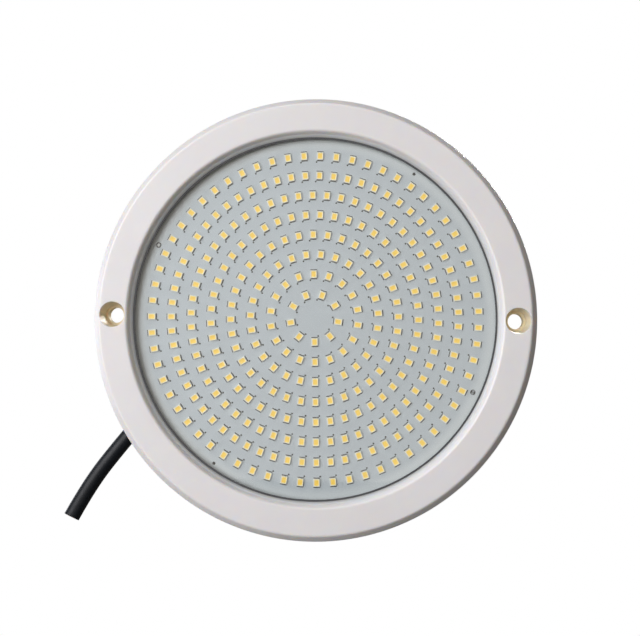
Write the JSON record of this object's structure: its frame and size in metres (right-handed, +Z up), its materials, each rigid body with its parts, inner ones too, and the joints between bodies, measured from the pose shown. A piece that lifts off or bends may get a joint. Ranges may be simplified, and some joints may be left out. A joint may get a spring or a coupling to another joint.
{
  "type": "underwater pool light",
  "caption": "Slim round wall-mounted underwater light with a clear window over rings of LEDs, two sunk screw holes and a short rubber cable.",
  "frame": {"origin": "middle between the two wall-screw holes, in the plane of the wall that the light is screwed to", "axes": "+Z up the wall, +X to the right seen from the pool, +Y into the wall; the light shines towards -Y"},
  "size_m": [0.235, 0.087, 0.2073],
  "materials": {
    "ring_abs": "satin moulded",
    "clear_polycarbonate": "polished clear",
    "black_rubber": "matt moulded",
    "silicone": "translucent moulded",
    "board_mask": "white solder mask on aluminium",
    "led_body": "white moulded",
    "phosphor": "yellow silicone phosphor",
    "rear_abs": "satin moulded",
    "stainless": "turned",
    "driver_laminate": "green solder mask",
    "chip_epoxy": "matt moulded",
    "ceramic_tan": "fired",
    "ferrite": "pressed powder",
    "core_insulation": "extruded",
    "solder": "reflowed",
    "resin": "cast",
    "gland_nylon": "satin moulded",
    "cable_rubber": "extruded"
  },
  "bodies": {
    "root": {"face_ring": "ring_abs", "window": "clear_polycarbonate", "front_seal": "black_rubber", "rear_gasket": "silicone", "led_board": "board_mask", "led_packages": "led_body", "led_phosphors": "phosphor", "rear_shell": "rear_abs", "assembly_screws": "stainless", "driver_board": "driver_laminate", "rectifier_diodes": "chip_epoxy", "chip_capacitors": "ceramic_tan", "driver_chips": "chip_epoxy", "power_inductors": "ferrite", "sense_resistors": "ceramic_tan", "cable_cores": "core_insulation", "core_solder": "solder", "link_wires": "black_rubber", "potting_resin": "resin", "gland_body": "gland_nylon", "gland_o_ring": "black_rubber", "gland_insert": "black_rubber", "gland_cap": "gland_nylon", "cable": "cable_rubber"}
  },
  "joints": []
}
